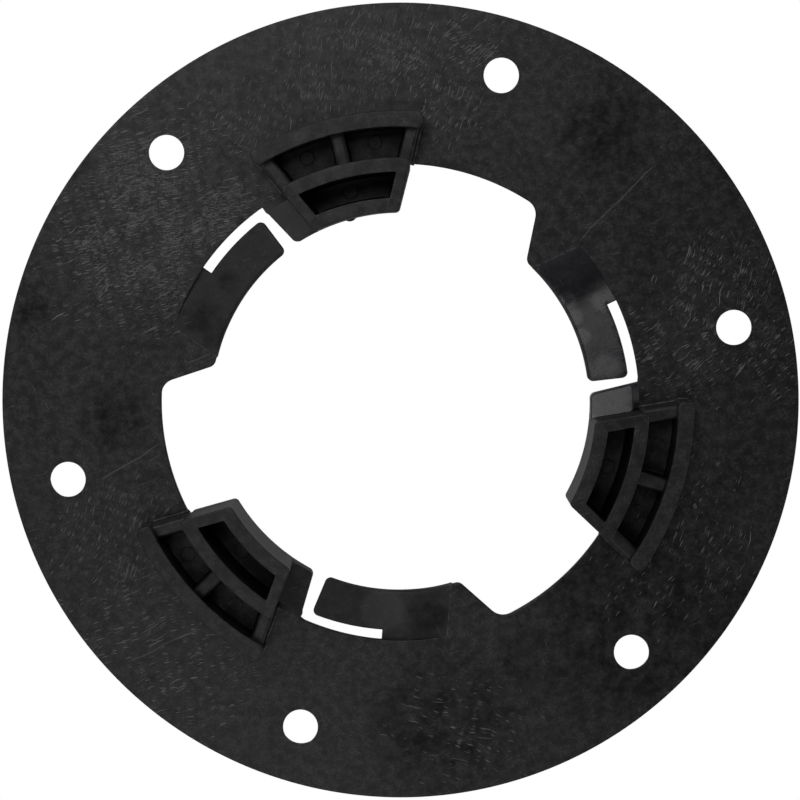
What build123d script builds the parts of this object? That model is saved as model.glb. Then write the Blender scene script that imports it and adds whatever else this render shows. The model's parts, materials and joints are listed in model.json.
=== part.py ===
from build123d import *
from build123d.topology import SkipClean
import os
from math import asin, cos, degrees, radians, sin, tan

# Clutch plate of a rotary floor machine: one plastic moulding, split into its functional regions.
# The plate lies flat with its machine side on Z = 0 and its bosses up. The origin is the plate's centre.
# Everything inside the ring repeats at three stations, and each station has its own angle about Z.

INCH = 25.4

# Ring
PLATE_RADIUS = 3.5 * INCH
PLATE_THICKNESS = 4.0
PLATE_EDGE_ROUND = 0.5
OPENING_RADIUS = 53.3
SCREW_CIRCLE_RADIUS = 3.0 * INCH
SCREW_HOLE_RADIUS = 5 / 32 * INCH
SCREW_COUNT = 6
FIRST_SCREW_ANGLE = 12.9
SEAT_INNER_RADIUS = 65.0

# Stations: the angle of each one's zero line. A boss stands clockwise of it, a finger anticlockwise.
STATION_ANGLES = {1: 0.0, 2: 120.0, 3: 240.0}
BOSS_ANGLE = -16.9

# Drive box: spans are half angles each side of the boss axis
BOX_HEIGHT = 16.0
BOX_OUTER_RADIUS = 54.3
BOX_OUTER_SPAN = 15.8
BOX_INNER_RADIUS = 42.5
BOX_INNER_SPAN = 12.8
BOX_CORNER_ROUND = 1.1
POCKET_OUTER_RADIUS = 51.2
POCKET_OUTER_SPAN = 12.25
POCKET_INNER_RADIUS = 45.6
POCKET_INNER_SPAN = 10.35
RIM_ROUND = 0.3

# Locating wall
WALL_HEIGHT = 10.0
WALL_OUTER_RADIUS = 64.7
WALL_INNER_RADIUS = 61.05
WALL_SPAN = 17.5
WALL_END_ROUND = 1.3

# Web ribs
RIB_HEIGHT = 7.0
RIB_THICKNESS = 2.8
RIB_TOP_ROUND = 0.6

# Stop ramp: the ledge against the box's anticlockwise side
RAMP_OUTER_ANGLE = 21.8
RAMP_INNER_ANGLE = 19.6
RAMP_HIGH_Z = 6.2
RAMP_LOW_Z = 5.0
RAMP_WIDTH = 5.2
RAMP_FLANK_SLOPE = 55.0
RAMP_CORNER_ROUND = 1.4

# Finger root: the flush pad that the leaf grows from, bounded by the recess's straight side
ROOT_INNER_ANGLE = 48.4
ROOT_OUTER_ANGLE = 55.1
ROOT_INNER_ROUND = 2.0
ROOT_OUTER_ROUND = 3.5

# Leaf: lead-in ramp and spring finger. Heights are at distances along the tangent at the hinge line.
LEAF_INNER_RADIUS = 42.2
FINGER_OUTER_RADIUS = 51.2
HINGE_ANGLE = 25.5
TIP_ANGLE = 7.2
TIP_CORNER_ROUND = 1.3
LEAD_IN_END = 14.6
CREASE = 4.9
TIP_REACH = -14.7
CREASE_TOP_Z = 2.0
CREASE_BOTTOM_Z = 0.0
TIP_TOP_Z = 3.8
TIP_BOTTOM_Z = 1.5
LEAF_INNER_CHAMFER = 0.6

# Hinge that stands for the leaf's bending
KNUCKLE_RADIUS = 0.75
KNUCKLE_CLEARANCE = 0.05
HINGE_FACE_GAP = 0.14
KNUCKLE_END_GAP = 0.1

# Ejector pin marks on the pocket floors
PIN_RADIUS = 1.55
PIN_HEIGHT = 0.3
PIN_RING_RADIUS = 58.3
PIN_RING_OFFSET = 7.6
PIN_BOX_RADIUS = 48.4

# Working lengths: pieces are drawn this much too long, and then trimmed to the faces that they meet
TALL = 30.0
RIB_SPARE = 3.0
RAMP_SPARE = 15.0
LEAD_IN_SPARE_ANGLE = 5.0


def polar(radius, angle):
    """Point at a radius and an angle in degrees about the plate's axis."""
    return (radius * cos(radians(angle)), radius * sin(radians(angle)))


def turned(angle):
    """The plate's base plane, turned about Z."""
    return Plane.XY.rotated((0, 0, angle))


def upright(angle):
    """Plane whose X is the tangent at an angle and whose Y is up. Its normal points out along the radius."""
    return Plane(origin=(0, 0, 0), x_dir=(*polar(1, angle + 90), 0), z_dir=(*polar(1, angle), 0))


def sector(outer_radius, outer_angles, inner_radius, inner_angles, mode=Mode.ADD):
    """Face between two arcs about the axis, closed by straight sides, in the current sketch."""
    outer_start, outer_end = outer_angles
    inner_start, inner_end = inner_angles
    outer_middle = (outer_start + outer_end) / 2
    inner_middle = (inner_start + inner_end) / 2
    with BuildLine() as outline:
        ThreePointArc(
            polar(outer_radius, outer_start),
            polar(outer_radius, outer_middle),
            polar(outer_radius, outer_end),
        )
        Line(polar(outer_radius, outer_end), polar(inner_radius, inner_end))
        ThreePointArc(
            polar(inner_radius, inner_end),
            polar(inner_radius, inner_middle),
            polar(inner_radius, inner_start),
        )
        Line(polar(inner_radius, inner_start), polar(outer_radius, outer_start))
    make_face(outline.edges(), mode=mode)


def leaf_top(distance):
    """Height of the finger's upper face at a distance along the hinge tangent."""
    return CREASE_TOP_Z + (TIP_TOP_Z - CREASE_TOP_Z) * (CREASE - distance) / (CREASE - TIP_REACH)


def leaf_bottom(distance):
    """Height of the finger's lower face at a distance along the hinge tangent."""
    return CREASE_BOTTOM_Z + (TIP_BOTTOM_Z - CREASE_BOTTOM_Z) * (CREASE - distance) / (CREASE - TIP_REACH)


KNUCKLE_Z = (leaf_top(0) + leaf_bottom(0)) / 2


def save(piece, label):
    """Labels a finished piece and writes its STEP file."""
    piece.label = label
    export_step(piece, f"parts/{label}.step")


os.makedirs("parts", exist_ok=True)

# --- Flange ring -------------------------------------------------------------------------------------------

with BuildPart() as flange_ring:
    with BuildSketch():
        Circle(PLATE_RADIUS)
        Circle(SEAT_INNER_RADIUS, mode=Mode.SUBTRACT)
        with PolarLocations(SCREW_CIRCLE_RADIUS, SCREW_COUNT, start_angle=FIRST_SCREW_ANGLE):
            Circle(SCREW_HOLE_RADIUS, mode=Mode.SUBTRACT)
    extrude(amount=PLATE_THICKNESS)
    rims = flange_ring.edges().filter_by(GeomType.CIRCLE)
    fillet(rims.group_by(SortBy.RADIUS)[-1], PLATE_EDGE_ROUND)
    # The seat, where the brush block lies, ends outside the locating walls and stays a face of its own.
    with BuildSketch() as plan:
        Circle(SEAT_INNER_RADIUS)
        Circle(OPENING_RADIUS, mode=Mode.SUBTRACT)
        # The finger roots start where the lead-in ramps come up flush with the ring.
        root_start_inner = HINGE_ANGLE + degrees(asin(LEAD_IN_END / LEAF_INNER_RADIUS))
        root_start_outer = HINGE_ANGLE + degrees(asin(LEAD_IN_END / OPENING_RADIUS))
        for angle in STATION_ANGLES.values():
            sector(
                OPENING_RADIUS,
                (angle + root_start_outer, angle + ROOT_OUTER_ANGLE),
                LEAF_INNER_RADIUS,
                (angle + root_start_inner, angle + ROOT_INNER_ANGLE),
            )
        for angle in STATION_ANGLES.values():
            inner_corner = polar(LEAF_INNER_RADIUS, angle + ROOT_INNER_ANGLE)
            fillet(plan.vertices().sort_by_distance(inner_corner)[0], ROOT_INNER_ROUND)
            outer_corner = polar(OPENING_RADIUS, angle + ROOT_OUTER_ANGLE)
            fillet(plan.vertices().sort_by_distance(outer_corner)[0], ROOT_OUTER_ROUND)
    with SkipClean():
        extrude(amount=PLATE_THICKNESS, clean=False)
    with BuildSketch(Plane.XY.offset(PLATE_THICKNESS)):
        for angle in STATION_ANGLES.values():
            for side in (-1, 1):
                with Locations(polar(PIN_RING_RADIUS, angle + BOSS_ANGLE + side * PIN_RING_OFFSET)):
                    Circle(PIN_RADIUS)
    with SkipClean():
        extrude(amount=PIN_HEIGHT, clean=False)

save(flange_ring.part, "flange_ring")

for number, angle in STATION_ANGLES.items():
    boss = turned(angle + BOSS_ANGLE)
    boss_top = boss.offset(PLATE_THICKNESS)

    # --- Drive box: floor pad inside the opening, and four walls around a pocket ----------------------

    with BuildPart() as drive_box:
        with BuildSketch(boss) as pad:
            sector(
                BOX_OUTER_RADIUS,
                (-BOX_OUTER_SPAN, BOX_OUTER_SPAN),
                BOX_INNER_RADIUS,
                (-BOX_INNER_SPAN, BOX_INNER_SPAN),
            )
            clockwise_corner = polar(BOX_INNER_RADIUS, -BOX_INNER_SPAN)
            fillet(pad.vertices().sort_by_distance(clockwise_corner)[0], BOX_CORNER_ROUND)
            Circle(OPENING_RADIUS, mode=Mode.INTERSECT)
        extrude(amount=PLATE_THICKNESS)
        with BuildSketch(boss_top) as walls:
            sector(
                BOX_OUTER_RADIUS,
                (-BOX_OUTER_SPAN, BOX_OUTER_SPAN),
                BOX_INNER_RADIUS,
                (-BOX_INNER_SPAN, BOX_INNER_SPAN),
            )
            fillet(walls.vertices(), BOX_CORNER_ROUND)
            sector(
                POCKET_OUTER_RADIUS,
                (-POCKET_OUTER_SPAN, POCKET_OUTER_SPAN),
                POCKET_INNER_RADIUS,
                (-POCKET_INNER_SPAN, POCKET_INNER_SPAN),
                mode=Mode.SUBTRACT,
            )
        extrude(amount=BOX_HEIGHT)
        fillet(drive_box.faces().sort_by(Axis.Z)[-1].outer_wire().edges(), RIM_ROUND)
        with BuildSketch(boss_top):
            with Locations((PIN_BOX_RADIUS, 0)):
                Circle(PIN_RADIUS)
        extrude(amount=PIN_HEIGHT)

    save(drive_box.part, f"drive_box_{number}")

    # --- Locating wall --------------------------------------------------------------------------------

    with BuildPart() as locating_wall:
        with BuildSketch(boss_top) as arc_wall:
            sector(
                WALL_OUTER_RADIUS,
                (-WALL_SPAN, WALL_SPAN),
                WALL_INNER_RADIUS,
                (-WALL_SPAN, WALL_SPAN),
            )
            fillet(arc_wall.vertices(), WALL_END_ROUND)
        extrude(amount=WALL_HEIGHT)
        fillet(locating_wall.faces().sort_by(Axis.Z)[-1].outer_wire().edges(), RIM_ROUND)

    save(locating_wall.part, f"locating_wall_{number}")

    # --- Web ribs: the outer two carry on the lines of the box's sides --------------------------------

    box_corner = Vector(*polar(BOX_OUTER_RADIUS, BOX_OUTER_SPAN))
    box_side = box_corner - Vector(*polar(BOX_INNER_RADIUS, BOX_INNER_SPAN))
    side_slope = degrees(asin(box_side.Y / box_side.length))
    with BuildPart() as web_ribs:
        for side in (-1, 0, 1):
            rib_start = Vector(box_corner.X, side * box_corner.Y)
            rib_start += Vector(0, -side * RIB_THICKNESS / 2).rotate(Axis.Z, side * side_slope)
            facing = upright(angle + BOSS_ANGLE + side * side_slope)
            facing.origin = boss_top.from_local_coords(rib_start - Vector(RIB_SPARE, 0))
            with BuildSketch(facing) as rib_face:
                Rectangle(RIB_THICKNESS, RIB_HEIGHT, align=(Align.CENTER, Align.MIN))
                fillet(rib_face.vertices().group_by(Axis.Y)[-1], RIB_TOP_ROUND)
            extrude(amount=TALL)
        with BuildSketch(boss_top):
            Circle(WALL_INNER_RADIUS)
            Circle(BOX_OUTER_RADIUS, mode=Mode.SUBTRACT)
        extrude(amount=TALL, mode=Mode.INTERSECT)

    save(web_ribs.part, f"web_ribs_{number}")

    # --- Stop ramp: high against the box, low at the gap, with a slanted flank down to the ring -------

    with BuildPart() as stop_ramp:
        with BuildSketch(boss) as ledge:
            sector(
                BOX_OUTER_RADIUS,
                (BOX_OUTER_SPAN, RAMP_OUTER_ANGLE),
                BOX_INNER_RADIUS,
                (BOX_INNER_SPAN, RAMP_INNER_ANGLE),
            )
            gap_corner = polar(BOX_INNER_RADIUS, RAMP_INNER_ANGLE)
            fillet(ledge.vertices().sort_by_distance(gap_corner)[0], RAMP_CORNER_ROUND)
            Circle(OPENING_RADIUS, mode=Mode.INTERSECT)
        extrude(amount=TALL)
        slope_plane = upright(angle + BOSS_ANGLE + side_slope)
        slope_plane.origin = boss.from_local_coords(polar(BOX_INNER_RADIUS, BOX_INNER_SPAN))
        fall = (RAMP_HIGH_Z - RAMP_LOW_Z) / RAMP_WIDTH
        with BuildSketch(slope_plane):
            Polygon(
                (-RAMP_SPARE, 0),
                (RAMP_SPARE, 0),
                (RAMP_SPARE, RAMP_HIGH_Z - fall * RAMP_SPARE),
                (-RAMP_SPARE, RAMP_HIGH_Z + fall * RAMP_SPARE),
                align=None,
            )
        extrude(amount=TALL, both=True, mode=Mode.INTERSECT)
        with BuildSketch(Plane.XZ):
            flank_rise = OPENING_RADIUS * tan(radians(RAMP_FLANK_SLOPE))
            Polygon(
                (0, 0),
                (OPENING_RADIUS, 0),
                (OPENING_RADIUS, PLATE_THICKNESS),
                (0, PLATE_THICKNESS + flank_rise),
                align=None,
            )
        revolve(axis=Axis.Z, mode=Mode.INTERSECT)

    save(stop_ramp.part, f"stop_ramp_{number}")

    # --- Lead-in ramp: sunk below the ring, with the groove that the finger's knuckle turns in --------

    leaf_section = upright(angle + HINGE_ANGLE)
    with BuildPart() as lead_in_ramp:
        with BuildSketch(turned(angle)):
            sector(
                OPENING_RADIUS,
                (HINGE_ANGLE, root_start_outer + LEAD_IN_SPARE_ANGLE),
                LEAF_INNER_RADIUS,
                (HINGE_ANGLE, root_start_inner + LEAD_IN_SPARE_ANGLE),
            )
        extrude(amount=PLATE_THICKNESS)
        with BuildSketch(leaf_section):
            Polygon(
                (0, leaf_bottom(0)),
                (CREASE, CREASE_BOTTOM_Z),
                (LEAD_IN_END, 0),
                (LEAD_IN_END, PLATE_THICKNESS),
                (CREASE, CREASE_TOP_Z),
                (0, leaf_top(0)),
                align=None,
            )
        extrude(amount=PLATE_RADIUS, mode=Mode.INTERSECT)
        with BuildSketch(leaf_section):
            with Locations((0, KNUCKLE_Z)):
                Circle(KNUCKLE_RADIUS + KNUCKLE_CLEARANCE)
        extrude(amount=FINGER_OUTER_RADIUS, mode=Mode.SUBTRACT)

    save(lead_in_ramp.part, f"lead_in_ramp_{number}")

    # --- Spring finger: sloping leaf with a rounded tip and a knuckle on the hinge line ---------------

    with BuildPart() as spring_finger:
        with BuildSketch(turned(angle)) as leaf:
            sector(
                FINGER_OUTER_RADIUS,
                (TIP_ANGLE, HINGE_ANGLE),
                LEAF_INNER_RADIUS,
                (TIP_ANGLE, HINGE_ANGLE),
            )
            for tip_radius in (FINGER_OUTER_RADIUS, LEAF_INNER_RADIUS):
                tip_corner = polar(tip_radius, TIP_ANGLE)
                fillet(leaf.vertices().sort_by_distance(tip_corner)[0], TIP_CORNER_ROUND)
        extrude(amount=TALL)
        with BuildSketch(leaf_section):
            Polygon(
                (-HINGE_FACE_GAP, leaf_bottom(-HINGE_FACE_GAP)),
                (-HINGE_FACE_GAP, leaf_top(-HINGE_FACE_GAP)),
                (-TALL, leaf_top(-TALL)),
                (-TALL, leaf_bottom(-TALL)),
                align=None,
            )
        extrude(amount=PLATE_RADIUS, mode=Mode.INTERSECT)
        upper_face = spring_finger.faces().sort_by(Axis.Z)[-1]
        inner_edge = upper_face.edges().sort_by_distance(polar(LEAF_INNER_RADIUS, angle + HINGE_ANGLE / 2))[0]
        chamfer(inner_edge, LEAF_INNER_CHAMFER)
        with BuildSketch(leaf_section.offset(LEAF_INNER_RADIUS)):
            with Locations((0, KNUCKLE_Z)):
                Circle(KNUCKLE_RADIUS)
        extrude(amount=FINGER_OUTER_RADIUS - LEAF_INNER_RADIUS - KNUCKLE_END_GAP)

    save(spring_finger.part, f"spring_finger_{number}")
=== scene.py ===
import json
from math import acos, asin, ceil, cos, degrees, pi, radians, sin, tan

import bmesh
import bpy
import numpy as np
from mathutils import Matrix, Vector
from mathutils.geometry import delaunay_2d_cdt


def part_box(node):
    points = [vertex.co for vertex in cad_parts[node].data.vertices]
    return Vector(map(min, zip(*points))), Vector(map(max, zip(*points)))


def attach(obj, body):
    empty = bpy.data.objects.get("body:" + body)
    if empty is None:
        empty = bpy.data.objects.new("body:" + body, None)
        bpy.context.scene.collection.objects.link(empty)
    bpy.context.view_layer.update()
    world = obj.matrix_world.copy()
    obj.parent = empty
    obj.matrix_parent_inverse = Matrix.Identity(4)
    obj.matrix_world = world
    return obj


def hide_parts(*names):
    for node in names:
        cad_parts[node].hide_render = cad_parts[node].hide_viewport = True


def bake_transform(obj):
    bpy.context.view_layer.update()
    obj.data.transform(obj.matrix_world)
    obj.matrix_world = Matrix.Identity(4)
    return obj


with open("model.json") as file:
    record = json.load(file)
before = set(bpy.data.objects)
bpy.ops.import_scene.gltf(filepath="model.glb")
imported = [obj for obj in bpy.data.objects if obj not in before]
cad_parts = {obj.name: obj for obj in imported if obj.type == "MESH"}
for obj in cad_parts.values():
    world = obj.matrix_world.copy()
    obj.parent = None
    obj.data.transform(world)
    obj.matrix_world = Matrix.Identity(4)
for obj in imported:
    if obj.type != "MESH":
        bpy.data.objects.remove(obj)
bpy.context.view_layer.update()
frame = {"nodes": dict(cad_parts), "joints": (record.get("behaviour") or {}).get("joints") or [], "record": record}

# A three-lug clutch plate. Station 1 is on +X, and stations 2 and 3 follow anticlockwise, seen from
# above. Each one has a drive box, a locating wall, ribs between them, a stop ramp, and a leaf that ends
# in a spring finger. Lengths below are in millimetres and angles in degrees. MM turns a length into
# Blender's metres.
MM = 0.001

# --------------------------------------------------------------------------------------------------
# Sizes, from the frame where it holds them
# --------------------------------------------------------------------------------------------------

STATION_ANGLES = {1: 0.0, 2: 120.0, 3: 240.0}
# Angle from a station to the axis that its box, wall and ribs are even about
BOSS_ANGLE = -16.9


def top_of(node):
    """Highest point of a CAD node."""
    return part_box(node)[1].z / MM


def radii_of(node):
    """Smallest and largest distance of a CAD node's vertices from the plate's axis."""
    spots = np.array([v.co[:2] for v in frame["nodes"][node].data.vertices]) / MM
    distances = np.hypot(spots[:, 0], spots[:, 1])
    return distances.min(), distances.max()


# Ring. Its screw holes open out towards the machine side, as the mould's draft leaves them, and a thin
# flash stands in at their upper edge. The free edge of the opening has draft too.
PLATE_RADIUS = radii_of("flange_ring")[1]
PLATE_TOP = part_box("locating_wall_1")[0].z / MM
RIM_EDGE = 0.25
screws = next(m for m in frame["record"]["mounts"] if m["name"] == "block_screw_holes")
SCREW_CIRCLE_RADIUS = screws["dims"]["pcd_mm"] / 2
SCREW_COUNT = screws["dims"]["count"]
SCREW_RADIUS = screws["dims"]["hole_r_mm"]
FIRST_SCREW_ANGLE = 12.9
SCREW_FLARE = 0.55
SCREW_FLASH = 0.07
OPENING_FLARE = 0.25
OPENING_EDGE = 0.3
LEAD_IN_SHOULDER = 0.15
ROOT_INNER_ANGLE, ROOT_INNER_ROUND = 48.4, 2.0
ROOT_OUTER_ANGLE, ROOT_OUTER_ROUND = 55.1, 3.5

# Locating wall
WALL_INNER_RADIUS, WALL_OUTER_RADIUS = radii_of("locating_wall_1")
WALL_TOP = top_of("locating_wall_1")
WALL_SPAN = 17.8
WALL_END_ROUND = 1.3
WALL_EDGE = 0.3
WALL_FLARE = 0.3
WALL_DRAFT = 0.1

# Drive box and its pocket. A span is half the angle that a side takes up.
BOX_INNER_RADIUS, BOX_OUTER_RADIUS = radii_of("drive_box_1")
BOX_TOP = top_of("drive_box_1")
BOX_OUTER_SPAN = 15.8
BOX_INNER_SPAN = 12.8
BOX_CORNER_ROUND = 1.1
BOX_EDGE = 0.32
BOX_FOOT_EDGE = 0.25
POCKET_OUTER_RADIUS, POCKET_OUTER_SPAN = 51.2, 12.25
POCKET_INNER_RADIUS, POCKET_INNER_SPAN = 45.6, 10.35
POCKET_CORNER_ROUND = 0.25
POCKET_EDGE = 0.2
POCKET_DRAFT = 0.2
# The concave flare at the pocket's floor fades out towards each corner, whose radius is smaller than
# the flare.
POCKET_FLARE = 0.5
FLARE_FADE_START, FLARE_FADE_LENGTH = 0.3, 0.9

# Ribs. Each runs a little way into the box and into the wall.
RIB_TOP = top_of("web_ribs_1")
RIB_THICKNESS = 2.8
RIB_DRAFT = 0.4
RIB_FLARE = 0.5
RIB_TOP_ROUND = 0.8
RIB_FOOT_SPREAD = 0.12
SIDE_RIB_OVERLAP = 1.2
MIDDLE_RIB_OVERLAPS = (0.6, 3.0)

# Stop ramp
RAMP_INNER_ANGLE, RAMP_OUTER_ANGLE = 19.8, 22.0
RAMP_TOP = top_of("stop_ramp_1")
RAMP_LOW = 5.0
RAMP_WIDTH = 5.2
RAMP_FLANK_WIDTH = 1.4
RAMP_CORNER_ROUND = 1.4
RAMP_EDGE = 0.3
RAMP_FOOT_EDGE = 0.25
RAMP_CREST_DEPTH = 0.5
# Angle by which the ramp runs into the box
RAMP_OVERLAP = 0.6

# Leaf, which rises from a soft valley to the tip and to the ring. Its distances run along the tangent
# at its hinge line.
LEAF_INNER_RADIUS, OPENING_RADIUS = radii_of("lead_in_ramp_1")
FINGER_OUTER_RADIUS = radii_of("spring_finger_1")[1]
HINGE_ANGLE = degrees(acos(frame["joints"][0]["axis"][0]))
TIP_ANGLES = {1: 6.6, 2: 7.0, 3: 7.2}
TIP_CORNER_ROUND = 1.3
SLOT_CORNER_ROUND = 0.15
LEAD_IN_END = 14.6
VALLEY_DISTANCE, VALLEY_TOP, VALLEY_BOTTOM = 4.9, 2.0, 0.0
TIP_DISTANCE, TIP_TOP, TIP_BOTTOM = -14.7, 3.8, 1.5
VALLEY_SOFTNESS = {1: 0.5, 2: 1.3, 3: 1.3}
SEAM_SOFTNESS = 1.6
# The leaf runs a little way into the ring, below the ring's upper face.
LEAF_OUTER_RADIUS = OPENING_RADIUS + 0.4
# The inner edge is broader than the others, and all edges fade out over a length before the ring.
LEAF_INNER_EDGE, LEAF_EDGE, LEAF_LOWER_EDGE = 0.75, 0.3, 0.25
LEAF_INNER_EDGE_WIDTH = 0.3
LEAF_EDGE_FADE = 4

# Pads that ejector pins left between the ribs and in the pocket, as radius and angle from the boss axis
PIN_RADIUS, PIN_HEIGHT, PIN_EDGE = 1.55, 0.3, 0.1
RIB_PIN_PLACES = ((58.3, -7.6), (58.3, 7.6))
POCKET_PIN_PLACE = (48.4, 0.0)
# Smaller ones on a wall's top, as angles from its middle
WALL_PINS = {2: (-14.5, 7.2)}
WALL_PIN_RADIUS, WALL_PIN_HEIGHT, WALL_PIN_EDGE = 0.85, 0.06, 0.04
# Sliver of flash at the foot of a box: its angle, the radius of its edge, how deep its centre is in the
# box, and its heights
FLASH_ANGLES = {2: 1.9}
FLASH_RADIUS, FLASH_DEPTH = 1.7, 1.25
FLASH_BOTTOM, FLASH_TOP = 0.3, 0.8

# How far a pad, a wall and a box's shoulder are sunk into what they stand on, so no gap shows
PAD_SINK, WALL_SINK, SHOULDER_SINK = 0.2, 0.02, 0.05
# Two regions' outlines are taken as the same line within this distance.
SAME_LINE = 0.05

# Fineness of the meshes: steps over a rounded edge, over a rounded corner and over a rib's roundings,
# degrees between points of a coarse or a fine arc, and the grid inside flat faces
EDGE_STEPS, CORNER_STEPS, RIB_STEPS = 4, 8, 6
ARC_STEP, FINE_ARC_STEP = 1.0, 0.75
RING_GRID, BOSS_GRID, RAMP_GRID = 4.0, 3.0, 2.5
LEAF_LOWER_GRID, LEAF_UPPER_GRID = 1.1, 0.9
# Vertices closer than this are one.
MERGE_DISTANCE = 0.005
# Edges are shaded sharp above an angle, and along rims whose rounding is next to nothing.
SHARP_ANGLE = radians(34)
CRISP_BELOW = 0.12

# Studio: the floor's grey in reflections, the room's light low at the sides and straight above, and the
# heights between which it dims (1 is straight above)
FLOOR_GREY = 0.75
ROOM_LIGHT, ROOM_DARK = 0.5, 0.02
ROOM_DARK_FROM, ROOM_DARK_TO = 0.30, 0.95
# Lights: name, place in metres, size in metres, power
LIGHTS = (("key", (-0.22, 0.46, 1.25), 0.5, 2.8), ("fill", (-0.16, -0.45, 1.26), 0.5, 1.1))
# Camera, in millimetres: the spot it looks at on the plate's upper face, its place, its sensor, and how
# far the frame reaches beyond the plate
CAMERA_TARGET = (-0.03, 0.80)
CAMERA_PLACE = (4.0, 37.0, 604.0)
SENSOR_WIDTH = 36.0
FRAME_MARGIN = 1.004


# --------------------------------------------------------------------------------------------------
# Outlines: lines and arcs seen from above, joined into closed loops of points
# --------------------------------------------------------------------------------------------------

def polar(radius, angle):
    """Point at a radius and an angle about the plate's axis."""
    return np.array([radius * cos(radians(angle)), radius * sin(radians(angle))])


def arc(radius, start, end, step=ARC_STEP):
    """Points along an arc about the plate's axis."""
    count = max(2, ceil(abs(end - start) / step) + 1)
    return np.array([polar(radius, angle) for angle in np.linspace(start, end, count)])


def straight(start, end, count):
    """Points along a straight line."""
    return np.linspace(start, end, count)


def trimmed(line, length):
    """A line of points with a length cut off its end."""
    line = list(line)
    while True:
        last = np.linalg.norm(line[-1] - line[-2])
        if last > length:
            line[-1] = line[-1] + (line[-2] - line[-1]) * length / last
            return np.array(line)
        length -= last
        line.pop()


def joined(lines, rounds):
    """Closed loop of lines laid end to end. rounds holds the radius of the corner after each line."""
    lines = [np.array(line, float) for line in lines]
    corners = []
    for number, radius in enumerate(rounds):
        following = (number + 1) % len(lines)
        here, after = lines[number], lines[following]
        if not radius:
            corners.append(np.empty((0, 2)))
            continue
        corner = here[-1]
        arriving = (here[-1] - here[-2]) / np.linalg.norm(here[-1] - here[-2])
        leaving = (after[1] - after[0]) / np.linalg.norm(after[1] - after[0])
        turn = acos(np.clip(arriving @ leaving, -1, 1))
        cut = radius * tan(turn / 2)
        lines[number] = trimmed(here, cut)
        lines[following] = trimmed(after[::-1], cut)[::-1]
        begin, end = lines[number][-1], lines[following][0]
        t = np.linspace(0, 1, CORNER_STEPS + 1)[1:-1, None]
        weight = 2 * cos(turn / 2) * t * (1 - t)
        blend = (1 - t) ** 2 * begin + weight * corner + t**2 * end
        corners.append(blend / ((1 - t) ** 2 + weight + t**2))
    points = []
    for number, line in enumerate(lines):
        points.extend(line)
        points.extend(corners[number])
    kept = [p for i, p in enumerate(points) if np.linalg.norm(p - points[i - 1]) > 1e-4]
    return np.array(kept)


def sector(outer_radius, outer_angles, inner_radius, inner_angles, rounds=(0, 0, 0, 0), step=ARC_STEP):
    """Anticlockwise loop of an outer arc, a side, an inner arc and a side."""
    outer = arc(outer_radius, *outer_angles, step)
    inner = arc(inner_radius, *inner_angles[::-1], step)
    sides = straight(outer[-1], inner[0], 6), straight(inner[-1], outer[0], 6)
    return joined([outer, sides[0], inner, sides[1]], rounds)


def inside(spots, loops):
    """Whether each spot lies within the area that the loops bound, with loops inside loops as holes."""
    crossings = np.zeros(len(spots), int)
    for loop in loops:
        for start, end in zip(loop, np.roll(loop, -1, 0)):
            straddles = (start[1] > spots[:, 1]) != (end[1] > spots[:, 1])
            rise = end[1] - start[1] if end[1] != start[1] else 1.0
            reach = start[0] + (spots[:, 1] - start[1]) * (end[0] - start[0]) / rise
            crossings += straddles & (spots[:, 0] < reach)
    return crossings % 2 == 1


def outward(loop, solid_inside=True):
    """Direction out of the material at each point of an anticlockwise loop, longer at a corner so that
    offsets stay even."""
    along = np.roll(loop, -1, 0) - loop
    along /= np.linalg.norm(along, axis=1)[:, None]
    normals = np.column_stack([along[:, 1], -along[:, 0]])
    before = np.roll(normals, 1, 0)
    joint = (before + normals) / (1 + np.sum(before * normals, 1))[:, None]
    return joint if solid_inside else -joint


# --------------------------------------------------------------------------------------------------
# Skins: closed meshes made of stacked rings and caps
# --------------------------------------------------------------------------------------------------

def heights(level, spots):
    """Height at each spot, of a level that is a number or a function of spots."""
    return level(spots) if callable(level) else np.full(len(spots), float(level))


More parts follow.
